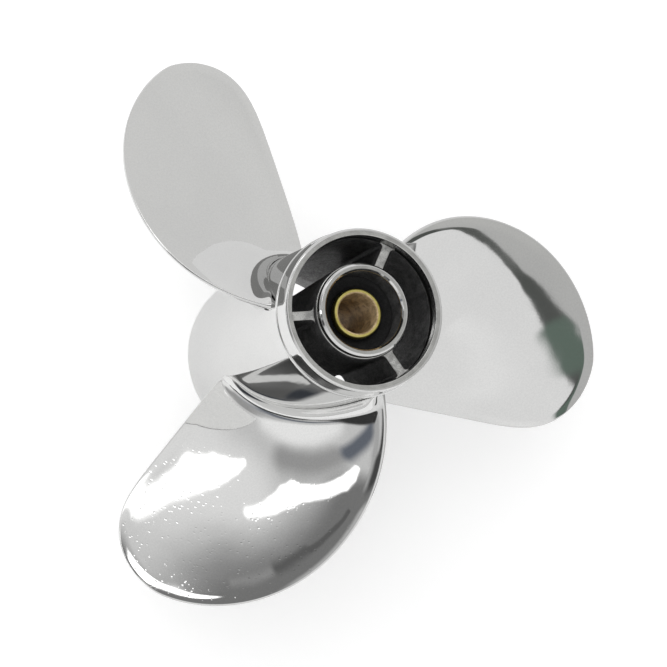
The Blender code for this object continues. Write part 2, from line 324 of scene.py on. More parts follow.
def blade_face(radius, angle, edge, side):
    """After (side 1) or forward (side -1) face.  The screw surface is offset in its own cylinder by the face's
    share of the thickness, times a rounded edge factor (1 - (1 - edge/EDGE_ROUND)^2.4)^(1/2.4), plus a
    quarter-circle flare into the barrel that dies out at the root's two ends.  The after face rolls over
    towards its edge as a parabola."""
    span = (radius - ROOT_RADIUS) / (TIP_RADIUS - ROOT_RADIUS)
    leading, trailing = outline_angles(radius)
    chord = np.clip((angle - leading) / np.maximum(trailing - leading, 1e-4), 0.0, 1.0)
    thickness = ROOT_THICKNESS + (TIP_THICKNESS - ROOT_THICKNESS) * np.clip(span, 0.0, 1.0) ** 0.7
    belly = (thickness - EDGE_THICKNESS) * (1.0 - np.abs(2.0 * chord - 1.0) ** 2.2)
    inset = 1.0 - np.clip(edge / EDGE_ROUND, 0.0, 1.0)
    rounding = (1.0 - inset**2.4) ** (1.0 / 2.4)
    clear = np.clip(ROOT_FILLET - (radius - ROOT_RADIUS), 0.0, ROOT_FILLET)
    flare = ROOT_FILLET - np.sqrt(ROOT_FILLET**2 - clear**2)
    flare *= 1.0 - (1.0 - np.clip(edge / (1.6 * ROOT_FILLET), 0.0, 1.0)) ** 2
    roll = EDGE_ROLL * (1.0 - np.clip(edge / EDGE_ROLL_WIDTH, 0.0, 1.0)) ** 2
    share = EDGE_THICKNESS / 2.0 + (np.maximum(belly, 0.0) if side < 0 else -roll)
    offset = side * (share * rounding + flare)

    slope = PITCH / (2.0 * np.pi) + 2.0 * PROGRESSIVE_PITCH * angle
    pitch_angle = np.arctan2(slope, radius)
    turn = angle - offset * np.sin(pitch_angle) / radius
    height = datum_height(angle) + camber(radius, angle) + offset * np.cos(pitch_angle)
    seat = barrel_radius(height) - 0.00003 - ROOT_RADIUS
    reach = radius + seat * (1.0 - np.clip(span, 0.0, 1.0)) ** 3
    return np.stack([reach * np.cos(turn), reach * np.sin(turn), height], axis=-1)


def blade_grid():
    """Both faces joined round the outline, with a hidden skirt that closes the root inside the barrel wall."""
    radius, angle = planform(190, 210)
    edge = distance_to_outline(radius, angle)
    edge[-1], edge[:, 0], edge[:, -1] = 0.0, 0.0, 0.0
    after = blade_face(radius, angle, edge, 1.0)
    forward = blade_face(radius, angle, edge, -1.0)
    skirts = []
    for face in (after, forward):
        inward = face[0] * [1.0, 1.0, 0.0]
        inward = inward / np.linalg.norm(inward, axis=-1, keepdims=True)
        skirts.append(face[0] - 0.0010 * inward)
    middle = 0.5 * (skirts[0] + skirts[1])
    return np.concatenate([middle[None], skirts[0][None], after, forward[::-1], skirts[1][None], middle[None]])


def turned_about_shaft(grid, turn):
    """Grid points turned about Z by an angle."""
    cos, sin = math.cos(turn), math.sin(turn)
    return np.stack([cos * grid[..., 0] - sin * grid[..., 1], sin * grid[..., 0] + cos * grid[..., 1],
                     grid[..., 2]], axis=-1)


def blade_mesh(name, grid, turn):
    """The blade's grid turned to its place, with its doubled edge points merged."""
    mesh = mesh_from_grid(name, turned_about_shaft(grid, turn))
    bm = bmesh.new()
    bm.from_mesh(mesh)
    bmesh.ops.remove_doubles(bm, verts=bm.verts, dist=0.0000005)
    bmesh.ops.dissolve_degenerate(bm, dist=0.0000001, edges=bm.edges)
    bmesh.ops.recalc_face_normals(bm, faces=bm.faces)
    bm.to_mesh(mesh)
    bm.free()
    mesh.shade_smooth()
    return mesh


# ---- turned pieces and ribs

def hub_mesh():
    """Barrel and exhaust ring as one wall: rounded front rim, straight taper, a small hollow before the ring's
    round bead, its waist, a rounded rear edge, the flat lip, and the bore back to the front."""
    shoulder = barrel_radius(FRONT_ROUND)
    outside = [
        (arc(shoulder - FRONT_ROUND, FRONT_ROUND, FRONT_ROUND, -90.0, 0.0, 13), 0),
        (line((barrel_radius(0.004), 0.004), (barrel_radius(0.0990), 0.0990), step=0.003), 0),
        (arc(BARREL_REAR_RADIUS + 0.00045, 0.1003, 0.0005, 170.0, 100.0, 6), 0),
        (arc(RING_FRONT_RADIUS - RING_BEAD, RING_FRONT + RING_BEAD, RING_BEAD, -80.0, 62.0, 15), 0),
        (line((RING_WAIST_RADIUS, RING_FRONT + 0.0026), (RING_REAR_RADIUS + 0.00008, RING_REAR - RING_ROUND - 0.0004),
              step=0.0012), 0),
        (arc(RING_REAR_RADIUS - RING_ROUND, RING_REAR - RING_ROUND, RING_ROUND, 2.0, 82.0, 13), 0),
        (line((RING_REAR_RADIUS - RING_ROUND - 0.0001, RING_REAR), (RING_LIP_BORE_RADIUS + 0.0004, RING_REAR),
              step=0.0003), 1),
        (arc(RING_LIP_BORE_RADIUS + 0.0003, RING_REAR - 0.0003, 0.0003, 90.0, 180.0, 6), 1),
    ]
    inside = [
        (line((RING_LIP_BORE_RADIUS, RING_REAR - 0.0008), (RING_LIP_BORE_RADIUS, RING_LEDGE + 0.0002)), 1),
        (line((RING_LIP_BORE_RADIUS - 0.0002, RING_LEDGE), (BORE_REAR_RADIUS, RING_LEDGE - 0.0003)), 2),
        (line((BORE_REAR_RADIUS, 0.1040), (BORE_THROAT_RADIUS, BORE_THROAT_START), step=0.003), 2),
        (line((BORE_THROAT_RADIUS + 0.0002, 0.040), (BORE_THROAT_RADIUS + 0.0006, 0.024),
              (BORE_THROAT_RADIUS + 0.0030, 0.008), (BORE_FRONT_RADIUS, 0.0002), step=0.002), 2),
    ]
    return turned("hub_casting", outside + inside)


def inner_hub_mesh():
    """Tube with a straight front, a taper along the ribs, a shoulder, and a machined end with a bevel each side
    of its flat."""
    outside = [
        (line((INNER_RADIUS - 0.0010, INNER_FRONT), (INNER_RADIUS, INNER_FRONT + 0.0010), step=0.0003), 1),
        (line((INNER_RADIUS, INNER_FRONT + 0.003), (INNER_RADIUS, RIB_FRONT), (INNER_SHOULDER_RADIUS, RIB_REAR),
              step=0.003), 1),
        (arc(INNER_SHOULDER_RADIUS - 0.0005, INNER_SHOULDER - 0.0003, 0.0005, 0.0, 80.0, 6), 1),
        (arc(INNER_END_RADIUS + 0.0004, INNER_SHOULDER + 0.0006, 0.0004, -100.0, -180.0, 6), 0),
        (line((INNER_END_RADIUS, INNER_REAR - 0.0007), (INNER_END_RADIUS - 0.0008, INNER_REAR), step=0.0002), 2),
        (line((INNER_END_RADIUS - 0.0010, INNER_REAR), (INNER_BORE_RADIUS + 0.0008, INNER_REAR), step=0.0004), 0),
    ]
    inside = [
        (line((INNER_BORE_RADIUS + 0.0007, INNER_REAR), (INNER_BORE_RADIUS, INNER_REAR - 0.0010), step=0.0002), 2),
        (line((INNER_BORE_RADIUS, INNER_REAR - 0.0013), (INNER_BORE_RADIUS, INNER_FRONT + 0.0010), step=0.004), 1),
        (line((INNER_BORE_RADIUS + 0.0003, INNER_FRONT + 0.0003), (INNER_BORE_RADIUS + 0.0008, INNER_FRONT),
              step=0.0003), 1),
    ]
    return turned("inner_hub_tube", outside + inside)


def bush_mesh():
    """Rubber between sleeve and hub: both end faces are hollowed by a shallow arc, with a thin lip that climbs
    the two metal walls."""
    outer, inner = INNER_BORE_RADIUS + 0.00005, SLEEVE_RADIUS - 0.00005
    share = np.linspace(0.0, 1.0, 15)
    hollow = 0.0011 * (1.0 - (2.0 * share - 1.0) ** 4)
    across = inner + (outer - inner) * share
    front = np.column_stack([across, BUSH_FRONT + hollow])
    rear = np.column_stack([across, BUSH_REAR - hollow])
    wall = line((outer, BUSH_FRONT + 0.002), (outer, BUSH_REAR - 0.002), step=0.01)
    bore = line((inner, BUSH_REAR - 0.002), (inner, BUSH_FRONT + 0.002), step=0.01)
    return turned("bonded_bush", [(front, 0), (wall, 0), (rear[::-1], 0), (bore, 0)], steps=192)


def sleeve_mesh():
    """Brass sleeve.  The bore radius is the plain radius less a tooth height that repeats SPLINE_TEETH times
    round, as a flat-topped wave, and stands only in front of the run-out."""
    steps = SPLINE_TEETH * 24
    angle = np.linspace(0.0, 2.0 * np.pi, steps, endpoint=False)
    chamfer = 0.0004
    outside = np.vstack([
        line((SLEEVE_RADIUS - chamfer, SLEEVE_FRONT), (SLEEVE_RADIUS, SLEEVE_FRONT + chamfer), step=0.0002),
        line((SLEEVE_RADIUS, SLEEVE_FRONT + 0.002), (SLEEVE_RADIUS, SLEEVE_REAR - 0.002), step=0.01),
        line((SLEEVE_RADIUS, SLEEVE_REAR - chamfer), (SLEEVE_RADIUS - chamfer, SLEEVE_REAR), step=0.0002),
        line((SLEEVE_RADIUS - 0.0006, SLEEVE_REAR), (SLEEVE_BORE_RADIUS + 0.0006, SLEEVE_REAR), step=0.0003),
    ])
    depth = np.concatenate([
        [SLEEVE_REAR, SLEEVE_REAR - 0.00015, SLEEVE_REAR - chamfer],
        np.linspace(SLEEVE_REAR - 0.0010, SPLINE_END + 0.0030, 16),
        np.linspace(SPLINE_END + 0.0024, SPLINE_END - 0.0006, 12),
        np.linspace(SPLINE_END - 0.002, SLEEVE_FRONT + 0.0012, 16),
        [SLEEVE_FRONT + 0.0004, SLEEVE_FRONT],
    ])[:, None]
    wave = np.clip(0.5 + 1.4 * np.cos(SPLINE_TEETH * angle), 0.0, 1.0)[None, :]
    window = np.clip((SPLINE_END + 0.0020 - depth) / 0.0020, 0.0, 1.0)
    window = window * np.clip((depth - SLEEVE_FRONT) / 0.0012, 0.0, 1.0)
    flare = chamfer * np.clip((depth - SLEEVE_REAR + chamfer) / chamfer, 0.0, 1.0)
    bore_radius = SLEEVE_BORE_RADIUS + flare - (SLEEVE_BORE_RADIUS - SPLINE_MINOR_RADIUS) * wave * window
    radius = np.vstack([np.repeat(outside[:, :1], steps, axis=1), bore_radius])
    height = np.vstack([np.repeat(outside[:, 1:], steps, axis=1), np.repeat(depth, steps, axis=1)])
    points = np.stack([radius * np.cos(angle), radius * np.sin(angle), height], axis=-1)
    zones = np.concatenate([np.zeros(len(outside) - 1), np.ones(len(depth) + 1)])
    return finish_mesh(mesh_from_grid("shaft_sleeve", points, True, True, zones), sharp_degrees=50.0)


def inner_hub_radius(z):
    """Outer radius of the inner hub beside the ribs."""
    share = np.clip((z - RIB_FRONT) / (RIB_REAR - RIB_FRONT), 0.0, 1.0)
    return INNER_RADIUS + (INNER_SHOULDER_RADIUS - INNER_RADIUS) * share


def rib_mesh(name, turn):
    """Web between inner hub and barrel.  Its section across is a rectangle with rounded corners, its half
    width grows as a quarter circle into each wall, and both ends are closed inside the walls.  Its rear face
    is fettled bright and its sides are dark, partly from casting and partly as painted shade."""
    corner = 0.0005
    half = RIB_THICKNESS / 2.0
    quarter = np.linspace(0.0, np.pi / 2.0, 7)
    side = np.linspace(0.0, 1.0, 25)[1:-1]
    rear = np.column_stack([1.0 - (corner / half) * (1.0 - np.cos(quarter)),
                            RIB_REAR - corner * (1.0 - np.sin(quarter))])
    front = np.column_stack([1.0 - (corner / half) * (1.0 - np.cos(quarter)),
                             RIB_FRONT + corner * (1.0 - np.sin(quarter))])
    climb = np.column_stack([np.ones(len(side)), RIB_FRONT + corner + (RIB_REAR - RIB_FRONT - 2 * corner) * side])
    one_side = np.vstack([front[::-1], climb, rear])
    loop = np.vstack([one_side, one_side[::-1] * [-1.0, 1.0]])
    share = crowded(41)
    across, height = loop[None, :, 0], loop[None, :, 1] + 0.0 * share[:, None]
    start = inner_hub_radius(height) - 0.0004
    end = BORE_THROAT_RADIUS + 0.0004
    reach = start + (end - start) * share[:, None]
    from_wall = np.minimum(reach - start - 0.0004, end - 0.0004 - reach)
    clear = np.clip(RIB_FILLET - np.clip(from_wall, 0.0, None), 0.0, RIB_FILLET)
    flare = RIB_FILLET - np.sqrt(RIB_FILLET**2 - clear**2)
    y = across * half + np.sign(across) * flare
    x = reach - 0.5 * y**2 / reach
    grid = np.stack([x, y, height], axis=-1)
    ends = [np.repeat(grid[k].mean(axis=0)[None], grid.shape[1], axis=0)[None] for k in (0, -1)]
    grid = np.concatenate([ends[0], grid, ends[1]])
    mesh = mesh_from_grid(name, turned_about_shaft(grid, turn), False, True)
    height = grid[:-1, :, 2]
    height = 0.5 * (height + np.roll(height, -1, axis=1))
    mesh.polygons.foreach_set("material_index", (height < RIB_REAR - 0.7 * corner).astype(np.int32).ravel())
    return finish_mesh(mesh, sharp_degrees=50.0)


# ---- node wiring

class Wiring:
    """Adds nodes to one tree.  A value given for an input is set on it, and a socket is linked to it."""

    def __init__(self, tree):
        self.tree = tree

    def add(self, kind, inputs=None, **settings):
        node = self.tree.nodes.new(kind)
        for setting, value in settings.items():
            setattr(node, setting, value)
        for key, value in (inputs or {}).items():
            self.feed(node.inputs[key], value)
        return node

    def feed(self, socket, value):
        if isinstance(value, bpy.types.NodeSocket):
            self.tree.links.new(value, socket)
        else:
            socket.default_value = value

    def math(self, operation, first, second=0.0, clamp=False):
        return self.add("ShaderNodeMath", {0: first, 1: second}, operation=operation, use_clamp=clamp).outputs[0]

    def vector(self, operation, first, second=(0.0, 0.0, 0.0)):
        return self.add("ShaderNodeVectorMath", {0: first, 1: second}, operation=operation)

    def spread(self, value, low, high, to_low=0.0, to_high=1.0, shape="SMOOTHSTEP"):
        """Takes a value's run from low to high onto to_low to to_high, smoothly."""
        inputs = {"Value": value, "From Min": low, "From Max": high, "To Min": to_low, "To Max": to_high}
        return self.add("ShaderNodeMapRange", inputs, interpolation_type=shape).outputs[0]

    def blend(self, share, first, second):
        node = self.add("ShaderNodeMix", {0: share, 6: first, 7: second}, data_type="RGBA")
        return node.outputs[2]

    def noise(self, place, scale, detail=2.0, roughness=0.5, distortion=0.0):
        inputs = {"Vector": place, "Scale": scale, "Detail": detail, "Roughness": roughness,
                  "Distortion": distortion}
        return self.add("ShaderNodeTexNoise", inputs).outputs[0]

    def stretched(self, place, scale, turn=(0.0, 0.0, 0.0)):
        return self.add("ShaderNodeMapping", {"Vector": place, "Rotation": turn, "Scale": scale}).outputs[0]

    def group(self, effect, **inputs):
        node = self.add("ShaderNodeGroup", node_tree=effect)
        for key, value in inputs.items():
            self.feed(node.inputs[key.replace("_", " ")], value)
        return node.outputs


def effect(name, inputs, outputs):
    """An empty node group with named inputs and outputs, its wiring, its inputs and its output node."""
    kinds = {"value": "NodeSocketFloat", "vector": "NodeSocketVector", "colour": "NodeSocketColor"}
    tree = bpy.data.node_groups.new(name, "ShaderNodeTree")
    for label, kind in inputs:
        tree.interface.new_socket(label, in_out="INPUT", socket_type=kinds[kind])
    for label, kind in outputs:
        tree.interface.new_socket(label, in_out="OUTPUT", socket_type=kinds[kind])
    wiring = Wiring(tree)
    return tree, wiring, wiring.add("NodeGroupInput").outputs, wiring.add("NodeGroupOutput")


# ---- shared effects

def polish_effect():
    """Hand polish: a slow swell left by the wheel, fine orange peel in patches, hairlines drawn one way, and short
    dents, dense on one blade.  Height is in micrometres; Dullness and Tone run from 0 to 1."""
    tree, wires, given, out = effect(
        "hand_polish",
        [("Place", "vector"), ("Swell", "value"), ("Peel", "value"), ("Pits", "value")],
        [("Height", "value"), ("Dullness", "value"), ("Tone", "value")])
    place = given["Place"]
    swell = wires.noise(place, 85.0, 1.0, 0.4)
    patches = wires.spread(wires.noise(place, 34.0, 2.0), 0.36, 0.62, 0.35, 1.0)
    peel = wires.noise(place, 1250.0, 1.5, 0.55)
    hairlines = wires.noise(wires.stretched(place, (2600.0, 120.0, 260.0), (0.2, 0.1, 0.7)), 1.0, 2.0, 0.6)
    drawn = wires.add("ShaderNodeMapping", {"Vector": place, "Rotation": (0.0, 0.0, -0.7), "Scale": (1.8, 1.0, 1.0)},
                      vector_type="TEXTURE").outputs[0]
    cells = wires.add("ShaderNodeTexVoronoi", {"Vector": drawn, "Scale": 780.0})
    pit = wires.spread(cells.outputs["Distance"], 0.02, 0.34, 1.0, 0.0)
    worn = wires.vector("DOT_PRODUCT", place, (-0.5, -0.866, 0.0)).outputs["Value"]
    patches_worn = wires.math("MULTIPLY", patches, wires.spread(worn, 0.045, 0.075))
    rare = wires.spread(wires.add("ShaderNodeSeparateColor", {0: cells.outputs["Color"]}).outputs[0], 0.40, 0.60)
    pit = wires.math("MULTIPLY", wires.math("MULTIPLY", pit, rare), patches_worn)
    height = wires.math("MULTIPLY", swell, given["Swell"])
    fine = wires.math("MULTIPLY", wires.math("MULTIPLY", peel, patches), given["Peel"])
    height = wires.math("ADD", height, fine)
    height = wires.math("ADD", height, wires.math("MULTIPLY", hairlines, 0.12))
    height = wires.math("SUBTRACT", height, wires.math("MULTIPLY", pit, given["Pits"]))
    wires.feed(out.inputs["Height"], height)
    dull = wires.math("ADD", wires.math("MULTIPLY", patches, 0.5), wires.math("MULTIPLY", hairlines, 0.5))
    wires.feed(out.inputs["Dullness"], wires.math("ADD", dull, wires.math("MULTIPLY", pit, 0.5), clamp=True))
    broad = wires.spread(wires.noise(place, 16.0, 4.0, 0.6), 0.3, 0.7, 0.0, 0.5)
    speck = wires.spread(wires.noise(place, 1500.0, 2.0, 0.7), 0.32, 0.68, 0.0, 0.5)
    wires.feed(out.inputs["Tone"], wires.math("ADD", broad, speck, clamp=True))
    return tree


def turning_effect():
    """Lathe marks: a wavy sine of the distance from the shaft axis, broken up along the ring by noise."""
    tree, wires, given, out = effect(
        "lathe_rings",
        [("Place", "vector"), ("Spacing", "value"), ("Break", "value")],
        [("Height", "value"), ("Dullness", "value"), ("Tone", "value")])
    place = given["Place"]
    flat = wires.vector("MULTIPLY", place, (1.0, 1.0, 0.0)).outputs[0]
    radius = wires.vector("LENGTH", flat).outputs["Value"]
    height_up = wires.add("ShaderNodeSeparateXYZ", {0: place}).outputs[2]
    walk = wires.math("ADD", radius, height_up)
    wander = wires.math("MULTIPLY", wires.noise(place, 160.0, 2.0), given["Break"])
    turns = wires.math("ADD", wires.math("DIVIDE", walk, given["Spacing"]), wander)
    ring = wires.math("SINE", wires.math("MULTIPLY", turns, 2.0 * math.pi))
    streak = wires.noise(wires.add("ShaderNodeCombineXYZ", {0: wires.math("MULTIPLY", walk, 5200.0)}).outputs[0], 1.0,
                         3.0, 0.7)
    height = wires.math("ADD", wires.math("MULTIPLY", ring, 0.5), wires.math("MULTIPLY", streak, 1.4))
    wires.feed(out.inputs["Height"], height)
    wires.feed(out.inputs["Dullness"], wires.spread(streak, 0.3, 0.7))
    wires.feed(out.inputs["Tone"], wires.spread(wires.noise(place, 210.0, 5.0, 0.65), 0.32, 0.68))
    return tree


def casting_effect():
    """Investment-cast skin: sand-fine grain on soft lumps, with a few darker patches."""
    tree, wires, given, out = effect(
        "casting_skin",
        [("Place", "vector"), ("Grain", "value"), ("Lumps", "value")],
        [("Height", "value"), ("Dullness", "value"), ("Tone", "value")])
    place = given["Place"]
    grain = wires.noise(place, given["Grain"], 5.0, 0.6)
    lumps = wires.noise(place, given["Lumps"], 2.0, 0.5)
    wires.feed(out.inputs["Height"], wires.math("ADD", wires.math("MULTIPLY", grain, 0.35), lumps))
    wires.feed(out.inputs["Dullness"], wires.spread(grain, 0.35, 0.65))
    patches = wires.noise(wires.stretched(place, (1.0, 1.0, 0.55)), given["Lumps"], 6.0, 0.68, 0.4)
    wires.feed(out.inputs["Tone"], wires.spread(patches, 0.36, 0.66))
    return tree


# ---- materials

def material(name, metallic, light, dark, smooth, rough, bump, group, tone="Tone", **inputs):
    """A Principled material whose colour runs between two colours by a mask, whose roughness runs between two
    values by another, and whose surface is lifted by the shared effect's height times the bump, in metres."""
    made = bpy.data.materials.new(name)
    made.use_nodes = True
    wires = Wiring(made.node_tree)
    shader = made.node_tree.nodes["Principled BSDF"]
    shader.inputs["Metallic"].default_value = metallic
    place = wires.add("ShaderNodeTexCoord").outputs["Object"]
    marks = wires.group(group, Place=place, **inputs)
    wires.feed(shader.inputs["Base Color"], wires.blend(marks[tone], (*dark, 1.0), (*light, 1.0)))
    wires.feed(shader.inputs["Roughness"], wires.spread(marks["Dullness"], 0.0, 1.0, smooth, rough, "LINEAR"))
    lifted = wires.add("ShaderNodeBump", {"Height": marks["Height"], "Distance": bump, "Strength": 1.0})
    wires.feed(shader.inputs["Normal"], lifted.outputs[0])
    return made


def make_materials():
    polish, rings, skin = polish_effect(), turning_effect(), casting_effect()
    steel, steel_shade = (0.835, 0.835, 0.825), (0.755, 0.755, 0.75)
    return {
        "polished": material("polished_stainless", 1.0, steel, steel_shade, 0.015, 0.05, 0.000001, polish,
                             Swell=34.0, Peel=1.0, Pits=14.0),
        "machined": material("machined_face", 1.0, (0.68, 0.68, 0.66), (0.54, 0.54, 0.525), 0.10, 0.26, 0.0000016, rings,
                             Spacing=0.00042, Break=0.5),
        # the cast bore's dark colour is partly the casting's own dark skin and partly painted shade that keeps the
        # unlit passages inside the hub black
        "dark_cast_and_painted_shade": material("cast_bore_and_painted_shade", 0.4, (0.10, 0.10, 0.10), (0.035, 0.035, 0.036), 0.42, 0.70, 0.00012, skin,
                              Grain=1500.0, Lumps=240.0),
        "cast_web": material("cast_web", 1.0, (0.72, 0.72, 0.70), (0.42, 0.42, 0.41), 0.26, 0.50, 0.00010, skin,
                             Grain=1900.0, Lumps=300.0),
        "rubber": material("bush_rubber", 0.0, (0.010, 0.010, 0.0105), (0.004, 0.004, 0.0045), 0.60, 0.85, 0.00005, skin,
                           Grain=1700.0, Lumps=260.0),
        "brass": material("brass_face", 1.0, (0.80, 0.70, 0.24), (0.55, 0.46, 0.12), 0.22, 0.42, 0.000003, rings,
                          Spacing=0.00038, Break=0.6),
        "brass_bore": material("brass_bore", 0.4, (0.85, 0.66, 0.40), (0.40, 0.28, 0.14), 0.30, 0.55, 0.00005, skin,
                               Grain=1600.0, Lumps=330.0),
    }


# ---- camera, floor and light

def make_camera():
    """The fitted view: its position and its right, up and back directions, turned into the part's frame."""
    right = Vector((0.9430202131252203, 0.05994418608847821, 0.3272912650705087))
    down = Vector((0.12093153646542734, -0.9781181776207917, -0.1692938099751212))
    ahead = Vector((0.30998135609319327, 0.19922732032020943, -0.9296343548474603))
    shift = Vector((0.011533361192804145, -0.00882729840113938, 2.049455858111703))
    place = -(right * shift.x + down * shift.y + ahead * shift.z)
    turn = Matrix.Rotation(-CAMERA_TURN, 4, "Z")
    data = bpy.data.cameras.new("camera")
    camera = bpy.data.objects.new("camera", data)
    bpy.context.scene.collection.objects.link(camera)
    axes = Matrix((right, -down, -ahead)).transposed().to_4x4()
    camera.matrix_world = turn @ Matrix.Translation(place) @ axes
    camera.location.z += RING_REAR + 0.00005
    data.sensor_width = 36.0
    data.lens = 36.0 * LENS_PIXELS / FRAME_PIXELS
    data.clip_start, data.clip_end = 0.05, 20.0
    bpy.context.scene.camera = camera


def make_floor():
    """A white paper floor, level under the hub's front rim, with painted shade on the far side of the object that is
    darker in second reflections.  Straight to the camera it glows a little more, as overexposed paper does, and
    inside the hub's front rim it glows fully, painted light where the hub's own shade falls."""
    mesh = bpy.data.meshes.new("floor")
    side = FLOOR_HALF
    mesh.from_pydata([(-side, -side, 0), (FLOOR_EAST, -side, 0), (FLOOR_EAST, side, 0), (-side, side, 0)], [], [(0, 1, 2, 3)])
    floor = bpy.data.objects.new("floor", mesh)
    bpy.context.scene.collection.objects.link(floor)
    made = bpy.data.materials.new("floor_paper")
    made.use_nodes = True
    wires = Wiring(made.node_tree)
    shader = made.node_tree.nodes["Principled BSDF"]
    place = wires.add("ShaderNodeTexCoord").outputs["Object"]
    path = wires.add("ShaderNodeLightPath").outputs
    again = wires.spread(path["Glossy Depth"], 1.0, 2.0, 0.0, 1.0, "LINEAR")
    fibre = wires.noise(place, 420.0, 4.0, 0.6)
    paper = wires.blend(fibre, (0.86, 0.86, 0.86, 1.0), (0.89, 0.89, 0.89, 1.0))
    # painted shade: in reflections the floor on the far side of the object is grey, darker still in second
    # reflections, where the object's shadow falls
    shade = wires.blend(again, (0.66, 0.66, 0.66, 1.0), (0.34, 0.34, 0.34, 1.0))
    painted_shade_far_side = wires.spread(wires.vector("DOT_PRODUCT", place, (0.5, 0.85, 0.0)).outputs["Value"], 0.03, 0.10)
    painted_shade_far_side = wires.spread(path["Is Camera Ray"], 0.0, 1.0, painted_shade_far_side, 0.0, "LINEAR")
    wires.feed(shader.inputs["Base Color"], wires.blend(painted_shade_far_side, paper, shade))
    shader.inputs["Roughness"].default_value = 0.9
    shader.inputs["Specular IOR Level"].default_value = 0.1
    shader.inputs["Emission Color"].default_value = (1.0, 1.0, 1.0, 1.0)
    glow = wires.spread(path["Is Camera Ray"], 0.0, 1.0, FLOOR_GLOW, FLOOR_SEEN_GLOW, "LINEAR")
    # painted light: inside the hub's front rim the floor glows fully, where the hub's own shade falls
    painted_light_in_hub = wires.spread(wires.vector("LENGTH", place).outputs["Value"], 0.0325, 0.0335, 1.0, 0.0)
    wires.feed(shader.inputs["Emission Strength"], wires.spread(painted_light_in_hub, 0.0, 1.0, glow, PAINTED_HUB_GLOW, "LINEAR"))
    mesh.materials.append(made)


def card_effect():
    """A card or strip in the light tent: full within its reach of the line from start to end, gone a fade further
    out.  The reach may change evenly along the line.  It lies over the light under it."""
    tree, wires, given, out = effect(
        "tent_card",
        [("Under", "colour"), ("Place", "vector"), ("Start", "vector"), ("End", "vector"), ("Reach", "value"),
         ("End Reach", "value"), ("Fade", "value"), ("Light", "colour")],
        [("Light", "colour")])
    run = wires.vector("SUBTRACT", given["End"], given["Start"]).outputs[0]
    off = wires.vector("SUBTRACT", given["Place"], given["Start"]).outputs[0]
    along_run = wires.vector("DOT_PRODUCT", off, run).outputs["Value"]
    size = wires.math("ADD", wires.vector("DOT_PRODUCT", run, run).outputs["Value"], 0.000001)
    share = wires.math("DIVIDE", along_run, size, clamp=True)
    nearest = wires.add("ShaderNodeVectorMath", {0: run, "Scale": share}, operation="SCALE").outputs[0]
    gap = wires.vector("DISTANCE", off, nearest).outputs["Value"]
    reach = wires.spread(share, 0.0, 1.0, given["Reach"], given["End Reach"], "LINEAR")
    edge = wires.spread(gap, reach, wires.math("ADD", reach, given["Fade"]), 1.0, 0.0)
    wires.feed(out.inputs["Light"], wires.blend(edge, given["Under"], given["Light"]))
    return tree


def oval_effect():
    """A softbox or round wall in the light tent: an ellipse, full inside and gone a fade further out, where the
    fade is a share of its size."""
    tree, wires, given, out = effect(
        "tent_oval",
        [("Under", "colour"), ("Place", "vector"), ("Centre", "vector"), ("Half Sizes", "vector"),
         ("Turn", "vector"), ("Fade", "value"), ("Light", "colour")],
        [("Light", "colour")])
    inside = wires.add("ShaderNodeMapping", {"Vector": given["Place"], "Location": given["Centre"],
                                             "Rotation": given["Turn"], "Scale": given["Half Sizes"]},
                       vector_type="TEXTURE").outputs[0]
    gap = wires.vector("LENGTH", inside).outputs["Value"]
    edge = wires.spread(gap, 1.0, wires.math("ADD", given["Fade"], 1.0), 1.0, 0.0)
    wires.feed(out.inputs["Light"], wires.blend(edge, given["Under"], given["Light"]))
    return tree


